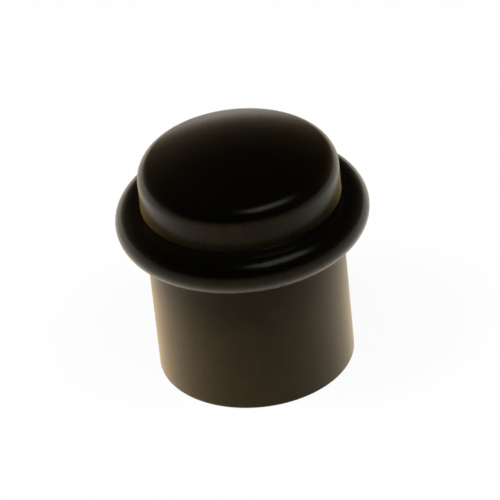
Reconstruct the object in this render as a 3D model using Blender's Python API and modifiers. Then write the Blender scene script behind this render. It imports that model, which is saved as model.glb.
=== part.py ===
"""Rubber door stop that stands on the floor: one moulding with a bumper ring round it.

The section is turned about the upright axis. Metres, +Z up. The origin is the
centre of the flat base, on the floor. Run it with

    blender --background --python part.py
"""
import math

import bpy

COLLECTION_NAME = "rubber_door_stop"
NODE_NAME = "rubber_stop"

# Body: the straight post that stands on the floor
BODY_DIAMETER = 0.0311
BODY_HEIGHT = 0.0238
BASE_EDGE_RADIUS = 0.0004

# Bumper ring, which the door strikes, with a full round edge
RING_DIAMETER = 0.0400
RING_THICKNESS = 0.0062
RING_ROOT_FILLET = 0.0005

# Cap: a short wall, a rounded shoulder and a shallow crown
CAP_DIAMETER = 0.0316
CAP_WALL_HEIGHT = 0.0044
SHOULDER_RADIUS = 0.0030
CROWN_RADIUS = 0.0395

# Blind hole in the base for the screw that holds the stop to the floor
HOLE_DIAMETER = 0.0060
HOLE_DEPTH = 0.0220
HOLE_MOUTH_CHAMFER = 0.0005

# Fineness of the round shapes
TURN_STEPS = 64
CROWN_STEPS = 5
SHOULDER_STEPS = 8
RING_EDGE_STEPS = 16
FILLET_STEPS = 3
MERGE_DISTANCE = 0.000005
SHARP_ANGLE = math.radians(35)

RUBBER_COLOR = (0.020, 0.017, 0.013, 1.0)
RUBBER_ROUGHNESS = 0.40


def clear_scene():
    for old in list(bpy.data.objects):
        bpy.data.objects.remove(old, do_unlink=True)


def arc(center, radius, start, end, steps):
    """Points along an arc, angles in radians from +X (outward) towards +Z (up)."""
    points = []
    for i in range(steps + 1):
        angle = start + (end - start) * i / steps
        r = center[0] + radius * math.cos(angle)
        z = center[1] + radius * math.sin(angle)
        points.append((r, z))
    return points


def ring_section():
    """Radius of the ring's round edge, with the edge's centre."""
    edge_radius = RING_THICKNESS / 2
    center = (RING_DIAMETER / 2 - edge_radius, BODY_HEIGHT + edge_radius)
    return edge_radius, center


def ring_meets_wall(wall_radius):
    """Where a wall of this radius meets the ring, as the angle on its edge and the fillet that fits."""
    edge_radius, center = ring_section()
    flat = center[0] - wall_radius
    if flat >= 0:
        return math.pi / 2, min(RING_ROOT_FILLET, flat)
    return math.acos(min(-flat / edge_radius, 1.0)), 0.0


def crown_and_shoulder():
    """From the apex out over the crown and round the shoulder to the top of the cap's wall."""
    cap_radius = CAP_DIAMETER / 2
    shoulder_center_r = cap_radius - SHOULDER_RADIUS
    wall_top = BODY_HEIGHT + RING_THICKNESS + CAP_WALL_HEIGHT
    drop = math.sqrt((CROWN_RADIUS - SHOULDER_RADIUS) ** 2 - shoulder_center_r ** 2)
    crown_center = (0.0, wall_top - drop)
    tangent = math.atan2(drop, shoulder_center_r)
    crown = arc(crown_center, CROWN_RADIUS, math.pi / 2, tangent, CROWN_STEPS)
    shoulder = arc((shoulder_center_r, wall_top), SHOULDER_RADIUS, tangent, 0.0, SHOULDER_STEPS)
    return crown + shoulder[1:]


def cap_root(wall_radius):
    """The fillet between the cap's wall and the ring's upper face."""
    angle, fillet = ring_meets_wall(wall_radius)
    edge_radius, center = ring_section()
    z = center[1] + edge_radius * math.sin(angle)
    if fillet == 0:
        return [(wall_radius, z)]
    return arc((wall_radius + fillet, z + fillet), fillet, math.pi, 1.5 * math.pi, FILLET_STEPS)


def body_root(wall_radius):
    """The fillet between the ring's lower face and the body's wall."""
    angle, fillet = ring_meets_wall(wall_radius)
    edge_radius, center = ring_section()
    z = center[1] - edge_radius * math.sin(angle)
    if fillet == 0:
        return [(wall_radius, z)]
    return arc((wall_radius + fillet, z - fillet), fillet, math.pi / 2, math.pi, FILLET_STEPS)


def ring_edge():
    """The ring's full round edge, from its upper face round to its lower face."""
    top_angle, _ = ring_meets_wall(CAP_DIAMETER / 2)
    bottom_angle, _ = ring_meets_wall(BODY_DIAMETER / 2)
    edge_radius, center = ring_section()
    return arc(center, edge_radius, top_angle, -bottom_angle, RING_EDGE_STEPS)


def base_and_hole():
    """The body's lower edge, the flat base and the blind hole, ending on the axis."""
    body_radius = BODY_DIAMETER / 2
    hole_radius = HOLE_DIAMETER / 2
    edge_center = (body_radius - BASE_EDGE_RADIUS, BASE_EDGE_RADIUS)
    points = arc(edge_center, BASE_EDGE_RADIUS, 0.0, -math.pi / 2, FILLET_STEPS)
    points.append((hole_radius + HOLE_MOUTH_CHAMFER, 0.0))
    points.append((hole_radius, HOLE_MOUTH_CHAMFER))
    points.append((hole_radius, HOLE_DEPTH))
    points.append((0.0, HOLE_DEPTH))
    return points


def without_repeats(points):
    """The same outline with points that fall on the one before left out."""
    kept = [points[0]]
    for point in points[1:]:
        if math.dist(point, kept[-1]) > MERGE_DISTANCE:
            kept.append(point)
    return kept


def section():
    """The whole outline, from the apex down the outside to the base and up the hole."""
    points = crown_and_shoulder()
    points += cap_root(CAP_DIAMETER / 2)
    points += ring_edge()
    points += body_root(BODY_DIAMETER / 2)
    points += base_and_hole()
    return without_repeats(points)


def rubber_material():
    material = bpy.data.materials.new("black_rubber")
    material.use_nodes = True
    shader = material.node_tree.nodes["Principled BSDF"]
    shader.inputs["Base Color"].default_value = RUBBER_COLOR
    shader.inputs["Roughness"].default_value = RUBBER_ROUGHNESS
    shader.inputs["Metallic"].default_value = 0.0
    material.diffuse_color = RUBBER_COLOR
    return material


def turned_piece(name, outline, material, collection):
    """An outline in the XZ plane turned all the way round Z."""
    mesh = bpy.data.meshes.new(name)
    vertices = [(r, 0.0, z) for r, z in outline]
    edges = [(i, i + 1) for i in range(len(outline) - 1)]
    mesh.from_pydata(vertices, edges, [])
    piece = bpy.data.objects.new(name, mesh)
    collection.objects.link(piece)
    turn = piece.modifiers.new("turn", "SCREW")
    turn.axis = "Z"
    turn.angle = 2 * math.pi
    turn.steps = TURN_STEPS
    turn.render_steps = TURN_STEPS
    turn.use_merge_vertices = True
    turn.merge_threshold = MERGE_DISTANCE
    turn.use_smooth_shade = True

    # The turned mesh replaces the bare outline, so that its flat faces can keep sharp edges.
    view = bpy.context.view_layer
    view.update()
    evaluated = piece.evaluated_get(bpy.context.evaluated_depsgraph_get())
    turned = bpy.data.meshes.new_from_object(evaluated)
    turned.name = name
    piece.modifiers.clear()
    piece.data = turned
    bpy.data.meshes.remove(mesh)
    turned.set_sharp_from_angle(angle=SHARP_ANGLE)
    turned.materials.append(material)
    return piece


def main():
    clear_scene()
    collection = bpy.data.collections.new(COLLECTION_NAME)
    bpy.context.scene.collection.children.link(collection)
    turned_piece(NODE_NAME, section(), rubber_material(), collection)


main()
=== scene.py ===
"""Looks of the rubber door stop: a fine turned mesh, black satin rubber, a pale floor and soft light.

Lengths are in metres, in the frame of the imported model: +Z up, the origin at the centre of the base.
"""
import math

import bmesh
import bpy
from mathutils import Matrix, Vector


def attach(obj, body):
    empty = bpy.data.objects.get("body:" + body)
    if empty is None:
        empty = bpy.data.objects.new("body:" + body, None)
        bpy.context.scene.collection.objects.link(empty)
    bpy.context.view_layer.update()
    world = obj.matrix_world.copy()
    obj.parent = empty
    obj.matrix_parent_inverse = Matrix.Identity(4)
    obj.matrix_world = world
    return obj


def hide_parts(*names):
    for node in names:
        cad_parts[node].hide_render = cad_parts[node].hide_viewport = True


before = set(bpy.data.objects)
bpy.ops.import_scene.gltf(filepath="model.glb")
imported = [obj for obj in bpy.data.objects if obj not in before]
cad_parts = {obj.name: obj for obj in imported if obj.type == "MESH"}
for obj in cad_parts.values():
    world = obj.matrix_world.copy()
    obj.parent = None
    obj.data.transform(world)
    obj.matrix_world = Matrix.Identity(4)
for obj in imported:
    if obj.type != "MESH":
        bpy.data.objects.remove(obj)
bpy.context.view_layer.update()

NODE = "rubber_stop"

# The stop's section. The root fillets are kept small, because a wide one catches the light as a line.
BODY_RADIUS = 0.01555
BODY_HEIGHT = 0.0238
BASE_EDGE_RADIUS = 0.0004
RING_RADIUS = 0.0200
RING_THICKNESS = 0.0062
RING_ROOT_FILLET = 0.0001
CAP_RADIUS = 0.0158
CAP_WALL_HEIGHT = 0.0044
SHOULDER_RADIUS = 0.0030
CROWN_RADIUS = 0.0395
HOLE_RADIUS = 0.0030
HOLE_DEPTH = 0.0220
HOLE_MOUTH_CHAMFER = 0.0005

# Fineness of the turned mesh
TURN_STEPS = 256
WALL_STEP = 0.0012
ARC_STEP = math.radians(5)
CROWN_STEPS = 24
MERGE_DISTANCE = 0.000002
SHARP_ANGLE = math.radians(35)

# Rubber: a brown haze that runs from thin to thick, shown on the walls as painted side light, black where it
# faces up as painted shade, and a warm sheen
BLACK = (0.0004, 0.0004, 0.0002, 1.0)
UPPER_HAZE_AND_SIDE_LIGHT = ((0.0030, 0.0020, 0.0008, 1.0), (0.0120, 0.0088, 0.0034, 1.0))
BODY_HAZE_AND_SIDE_LIGHT = ((0.0002, 0.0001, 0.0001, 1.0), (0.0086, 0.0058, 0.0019, 1.0))
UPPER_SHEEN = {"weight": 0.65, "roughness": 0.31, "tint": (1.0, 0.66, 0.22, 1.0)}
BODY_SHEEN = {"weight": 1.0, "roughness": 0.41, "tint": (1.0, 0.64, 0.22, 1.0)}
# Painted shade: faces whose normal points up past this limit are left black instead of hazed
PAINTED_TOP_SHADE_LIMIT = 0.35  # the haze ends where the normal's upward part reaches this
PATCH_NOISE = {"Scale": 260.0, "Detail": 2.0, "Roughness": 0.5}
GRAIN_NOISE = {"Scale": 2200.0, "Detail": 1.0, "Roughness": 0.5}
GRAIN_SHARE = 0.5
MOTTLE_SPAN = (0.25, 0.75)
ROUGHNESS = (0.20, 0.27)
GRAIN_BUMP = {"Strength": 0.4, "Distance": 0.00003}
SPECULAR_LEVEL = 0.5
SPECULAR_TINT = (0.20, 0.16, 0.10, 1.0)
RUBBER_IOR = 1.40

# The photograph's camera, in pixels of its 500 by 500 frame
FRAME_PIXELS = 500
FOCAL_PIXELS = 4649
BASE_CENTRE_PIXEL = (257.34, 351.24)
CAMERA_DEPTH = 0.7431
CAMERA_ELEVATION = math.radians(34.02)
CAMERA_ROLL = math.radians(6.13)
SENSOR_MM = 36.0

# Floor
FLOOR_RADIUS = 4.0
FLOOR_SEGMENTS = 96
FLOOR_DROP = 0.00005
FLOOR_COLOR = (0.92, 0.90, 0.86, 1.0)
FLOOR_WHITENESS = 0.93
WHITE = (1.0, 1.0, 1.0, 1.0)

# World: the glow's level by height, 0 at the horizon and 1 overhead, its tint, and where it fades
GLOW_LEVELS = ((0.0, 2.8), (0.03, 2.1), (0.07, 0.65), (0.13, 0.21), (0.28, 0.08), (0.70, 0.05), (1.0, 0.10))
GLOW_TINT = (1.0, 0.90, 0.75)
GLOW_FROM_FRONT_TO_BACK = {1: -0.5, 2: 0.5, 3: 0.0, 4: 1.0}
GLOW_FROM_LEFT_TO_RIGHT = {1: -0.5, 2: 0.6, 3: 1.0, 4: 0.04}

# Lamps: name, azimuth, elevation, distance, size, watts, colour, whether reflections show it
PLAIN_LIGHT = (1.0, 1.0, 1.0)
COOL_LIGHT = (0.62, 0.75, 1.0)
LAMPS = (
    ("fill", 0, 80, 1.2, (1.2, 1.2), 2.0, PLAIN_LIGHT, False),
    ("left", -72, 60, 1.0, (0.32, 0.32), 6.6, PLAIN_LIGHT, False),
    ("right", 85, 50, 1.0, (0.35, 0.35), 0.4, PLAIN_LIGHT, False),
    ("key", 42, 62, 0.8, (0.50, 0.28), 4.2, COOL_LIGHT, True),
)


def set_up_view():
    scene = bpy.context.scene
    scene.view_settings.view_transform = "Standard"


def arc(center, radius, start, end, steps=None):
    """Points along an arc, angles from +X (outward) towards +Z (up)."""
    if steps is None:
        steps = max(2, math.ceil(abs(end - start) / ARC_STEP))
    points = []
    for i in range(steps + 1):
        angle = start + (end - start) * i / steps
        points.append((center[0] + radius * math.cos(angle), center[1] + radius * math.sin(angle)))
    return points


def line(start, end):
    """Points along a straight run, without its first."""
    steps = max(1, math.ceil(math.dist(start, end) / WALL_STEP))
    return [tuple(a + (b - a) * i / steps for a, b in zip(start, end)) for i in range(1, steps + 1)]


def section():
    """The outline from the apex down the outside to the base and up the hole, ending on the axis."""
    ring_bottom = BODY_HEIGHT
    ring_top = BODY_HEIGHT + RING_THICKNESS
    ring_edge_radius = RING_THICKNESS / 2
    ring_edge_center = (RING_RADIUS - ring_edge_radius, ring_bottom + ring_edge_radius)
    wall_top = ring_top + CAP_WALL_HEIGHT
    shoulder_center = (CAP_RADIUS - SHOULDER_RADIUS, wall_top)
    drop = math.sqrt((CROWN_RADIUS - SHOULDER_RADIUS) ** 2 - shoulder_center[0] ** 2)
    tangent = math.atan2(drop, shoulder_center[0])

    points = arc((0.0, wall_top - drop), CROWN_RADIUS, math.pi / 2, tangent, CROWN_STEPS)
    points += arc(shoulder_center, SHOULDER_RADIUS, tangent, 0.0)[1:]
    points += line(points[-1], (CAP_RADIUS, ring_top + RING_ROOT_FILLET))
    root = (CAP_RADIUS + RING_ROOT_FILLET, ring_top + RING_ROOT_FILLET)
    points += arc(root, RING_ROOT_FILLET, math.pi, 1.5 * math.pi)[1:]
    points += arc(ring_edge_center, ring_edge_radius, math.pi / 2, -math.pi / 2)
    root = (BODY_RADIUS + RING_ROOT_FILLET, ring_bottom - RING_ROOT_FILLET)
    points += arc(root, RING_ROOT_FILLET, math.pi / 2, math.pi)
    points += line(points[-1], (BODY_RADIUS, BASE_EDGE_RADIUS))
    base_edge = (BODY_RADIUS - BASE_EDGE_RADIUS, BASE_EDGE_RADIUS)
    points += arc(base_edge, BASE_EDGE_RADIUS, 0.0, -math.pi / 2)[1:]
    points += line(points[-1], (HOLE_RADIUS + HOLE_MOUTH_CHAMFER, 0.0))
    points.append((HOLE_RADIUS, HOLE_MOUTH_CHAMFER))
    points += line(points[-1], (HOLE_RADIUS, HOLE_DEPTH))
    points.append((0.0, HOLE_DEPTH))
    return points


def turned_mesh(name, outline):
    """The outline in the XZ plane spun round Z into a closed mesh."""
    mesh = bmesh.new()
    verts = [mesh.verts.new((r, 0.0, z)) for r, z in outline]
    edges = [mesh.edges.new(pair) for pair in zip(verts, verts[1:])]
    bmesh.ops.spin(mesh, geom=verts + edges, axis=(0, 0, 1), cent=(0, 0, 0),
                   angle=2 * math.pi, steps=TURN_STEPS, use_duplicate=False)
    bmesh.ops.remove_doubles(mesh, verts=mesh.verts, dist=MERGE_DISTANCE)
    bmesh.ops.dissolve_degenerate(mesh, edges=mesh.edges, dist=MERGE_DISTANCE)
    bmesh.ops.recalc_face_normals(mesh, faces=mesh.faces)
    data = bpy.data.meshes.new(name)
    mesh.to_mesh(data)
    mesh.free()
    data.shade_smooth()
    data.set_sharp_from_angle(angle=SHARP_ANGLE)
    piece = bpy.data.objects.new(name, data)
    bpy.context.scene.collection.objects.link(piece)
    return piece


class Nodes:
    """A small helper that adds nodes to a tree and links them."""

    def __init__(self, tree):
        self.tree = tree

    def add(self, kind, values=None, **settings):
        node = self.tree.nodes.new(kind)
        for key, value in settings.items():
            setattr(node, key, value)
        for key, value in (values or {}).items():
            node.inputs[key].default_value = value
        return node

    def link(self, source, target):
        self.tree.links.new(source, target)

    def noise(self, vector, values):
        """The grey value of a noise texture."""
        node = self.add("ShaderNodeTexNoise", values)
        self.link(vector, node.inputs["Vector"])
        return node.outputs["Fac"]

    def map_range(self, value, values, **settings):
        """The value mapped: inputs 1 and 2 are the range read, 3 and 4 the range given."""
        node = self.add("ShaderNodeMapRange", values, **settings)
        self.link(value, node.inputs[0])
        return node.outputs[0]

    def mix_color(self, factor, start, end):
        """A mix of two colours, each a plain colour or a socket."""
        node = self.add("ShaderNodeMix", data_type="RGBA")
        self.link(factor, node.inputs[0])
        for key, color in ((6, start), (7, end)):
            if isinstance(color, tuple):
                node.inputs[key].default_value = color
            else:
                self.link(color, node.inputs[key])
        return node.outputs[2]


def rubber_material(name, haze_and_side_light_range, sheen):
    """Satin black rubber with a mottled brown haze, fine grain, and a warm sheen at grazing angles. The haze
    is painted light and shade: it shows on the walls and fades to black on faces that look up.
    """
    material = bpy.data.materials.new(name)
    material.use_nodes = True
    tree = material.node_tree
    shader = tree.nodes["Principled BSDF"]
    n = Nodes(tree)
    coords = n.add("ShaderNodeTexCoord")

    # Patches a few millimetres across, and a grain of about half a millimetre
    patches = n.noise(coords.outputs["Object"], PATCH_NOISE)
    grain = n.noise(coords.outputs["Object"], GRAIN_NOISE)
    both = n.add("ShaderNodeMix", {0: GRAIN_SHARE}, data_type="FLOAT")
    n.link(patches, both.inputs[2])
    n.link(grain, both.inputs[3])
    span = {1: MOTTLE_SPAN[0], 2: MOTTLE_SPAN[1], 3: 0.0, 4: 1.0}
    mottle = n.map_range(both.outputs[0], span, interpolation_type="SMOOTHSTEP")

    # Painted light and shade: the haze shows on upright faces, and the faces that look up are left black
    facing = n.add("ShaderNodeSeparateXYZ")
    n.link(coords.outputs["Normal"], facing.inputs[0])
    span = {1: 0.0, 2: PAINTED_TOP_SHADE_LIMIT, 3: 1.0, 4: 0.0}
    painted_side_light = n.map_range(facing.outputs["Z"], span, interpolation_type="SMOOTHSTEP")
    haze_and_side_light = n.mix_color(mottle, *haze_and_side_light_range)
    n.link(n.mix_color(painted_side_light, BLACK, haze_and_side_light), shader.inputs["Base Color"])

    rough = n.map_range(mottle, {1: 0.0, 2: 1.0, 3: ROUGHNESS[0], 4: ROUGHNESS[1]})
    n.link(rough, shader.inputs["Roughness"])

    bump = n.add("ShaderNodeBump", GRAIN_BUMP)
    n.link(grain, bump.inputs["Height"])
    n.link(bump.outputs[0], shader.inputs["Normal"])

    shader.inputs["Specular IOR Level"].default_value = SPECULAR_LEVEL
    shader.inputs["Specular Tint"].default_value = SPECULAR_TINT
    shader.inputs["IOR"].default_value = RUBBER_IOR
    shader.inputs["Sheen Weight"].default_value = sheen["weight"]
    shader.inputs["Sheen Roughness"].default_value = sheen["roughness"]
    shader.inputs["Sheen Tint"].default_value = sheen["tint"]
    return material


def dress(stop):
    """The cap and ring in one finish, and the body and underside in another with a stronger, wider sheen."""
    stop.data.materials.append(rubber_material("rubber_upper", UPPER_HAZE_AND_SIDE_LIGHT, UPPER_SHEEN))
    stop.data.materials.append(rubber_material("rubber_body", BODY_HAZE_AND_SIDE_LIGHT, BODY_SHEEN))
    for face in stop.data.polygons:
        face.material_index = 1 if face.center.z < BODY_HEIGHT else 0


def floor_material():
    """A pale floor: seen as nearly plain white by the camera and in reflections, with a faint shadow kept."""
    material = bpy.data.materials.new("floor_white")
    material.use_nodes = True
    tree = material.node_tree
    tree.nodes.clear()
    n = Nodes(tree)
    diffuse = n.add("ShaderNodeBsdfDiffuse", {"Color": FLOOR_COLOR})
    white = n.add("ShaderNodeEmission", {"Color": WHITE, "Strength": 1.0})
    path = n.add("ShaderNodeLightPath")
    seen = n.add("ShaderNodeMath", operation="MAXIMUM")
    n.link(path.outputs["Is Camera Ray"], seen.inputs[0])
    n.link(path.outputs["Is Glossy Ray"], seen.inputs[1])
    either = n.add("ShaderNodeMath", operation="MAXIMUM")
    n.link(seen.outputs[0], either.inputs[0])
    n.link(path.outputs["Is Transmission Ray"], either.inputs[1])
    share = n.add("ShaderNodeMath", {1: FLOOR_WHITENESS}, operation="MULTIPLY")
    n.link(either.outputs[0], share.inputs[0])
    mix = n.add("ShaderNodeMixShader")
    n.link(share.outputs[0], mix.inputs[0])
    n.link(diffuse.outputs[0], mix.inputs[1])
    n.link(white.outputs[0], mix.inputs[2])
    out = n.add("ShaderNodeOutputMaterial")
    n.link(mix.outputs[0], out.inputs["Surface"])
    return material


def build_floor():
    """A wide disc a hair below the base, so that the two flat faces don't coincide."""
    mesh = bmesh.new()
    bmesh.ops.create_circle(mesh, cap_ends=True, segments=FLOOR_SEGMENTS, radius=FLOOR_RADIUS)
    data = bpy.data.meshes.new("floor")
    mesh.to_mesh(data)
    mesh.free()
    floor = bpy.data.objects.new("floor", data)
    bpy.context.scene.collection.objects.link(floor)
    data.materials.append(floor_material())
    floor.location.z = -FLOOR_DROP
    return floor


def build_world():
    """A dim studio: a pale glow low on the horizon, behind the object and to its left, and dim above."""
    world = bpy.data.worlds.new("studio")
    bpy.context.scene.world = world
    world.use_nodes = True
    tree = world.node_tree
    tree.nodes.clear()
    n = Nodes(tree)
    coords = n.add("ShaderNodeTexCoord")
    split = n.add("ShaderNodeSeparateXYZ")
    n.link(coords.outputs["Generated"], split.inputs[0])
    height = n.add("ShaderNodeValToRGB")
    ramp = height.color_ramp
    while len(ramp.elements) < len(GLOW_LEVELS):
        ramp.elements.new(0.5)
    for element, (position, level) in zip(ramp.elements, GLOW_LEVELS):
        element.position = position
        element.color = (*(level * part for part in GLOW_TINT), 1.0)
    n.link(split.outputs["Z"], height.inputs[0])
    depth = n.map_range(split.outputs["Y"], GLOW_FROM_FRONT_TO_BACK, interpolation_type="SMOOTHSTEP")
    side = n.map_range(split.outputs["X"], GLOW_FROM_LEFT_TO_RIGHT, interpolation_type="SMOOTHSTEP")
    strength = n.add("ShaderNodeMath", operation="MULTIPLY")
    n.link(depth, strength.inputs[0])
    n.link(side, strength.inputs[1])
    back = n.add("ShaderNodeBackground")
    n.link(height.outputs[0], back.inputs["Color"])
    n.link(strength.outputs[0], back.inputs["Strength"])
    out = n.add("ShaderNodeOutputWorld")
    n.link(back.outputs[0], out.inputs["Surface"])


def softbox(name, azimuth, elevation, distance, size, watts, color, in_reflections):
    """An area lamp aimed at the object. Azimuth 0 is on the camera's side and 90 at its right."""
    lamp = bpy.data.lights.new(name, "AREA")
    lamp.shape = "RECTANGLE"
    lamp.size, lamp.size_y = size
    lamp.energy = watts
    lamp.color = color
    box = bpy.data.objects.new(name, lamp)
    bpy.context.scene.collection.objects.link(box)
    a, e = math.radians(azimuth), math.radians(elevation)
    away = Vector((math.sin(a) * math.cos(e), -math.cos(a) * math.cos(e), math.sin(e)))
    target = Vector((0.0, 0.0, BODY_HEIGHT))
    box.location = target + away * distance
    box.rotation_euler = away.to_track_quat("Z", "Y").to_euler()
    box.visible_glossy = in_reflections
    return box


def build_camera():
    """The camera from the photograph: it looks down at the base centre, rolled a little."""
    back = Vector((0.0, -math.cos(CAMERA_ELEVATION), math.sin(CAMERA_ELEVATION)))
    right = Vector((1.0, 0.0, 0.0))
    up = Vector((0.0, math.sin(CAMERA_ELEVATION), math.cos(CAMERA_ELEVATION)))
    c, s = math.cos(CAMERA_ROLL), math.sin(CAMERA_ROLL)
    camera_x = c * right - s * up
    camera_y = s * right + c * up
    middle = FRAME_PIXELS / 2
    u = (BASE_CENTRE_PIXEL[0] - middle) / FOCAL_PIXELS
    v = (middle - BASE_CENTRE_PIXEL[1]) / FOCAL_PIXELS
    location = -CAMERA_DEPTH * (u * camera_x + v * camera_y - back)

    data = bpy.data.cameras.new("camera")
    data.sensor_width = SENSOR_MM
    data.lens = FOCAL_PIXELS * SENSOR_MM / FRAME_PIXELS
    camera = bpy.data.objects.new("camera", data)
    bpy.context.scene.collection.objects.link(camera)
    axes = Matrix((camera_x, camera_y, back)).transposed().to_4x4()
    camera.matrix_world = Matrix.Translation(location) @ axes
    bpy.context.scene.camera = camera


def build_stop():
    stop = turned_mesh("rubber_stop_surface", section())
    dress(stop)
    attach(stop, "root")
    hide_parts(NODE)
    return stop


set_up_view()
build_stop()
build_floor()
build_world()
for lamp_settings in LAMPS:
    softbox(*lamp_settings)
build_camera()
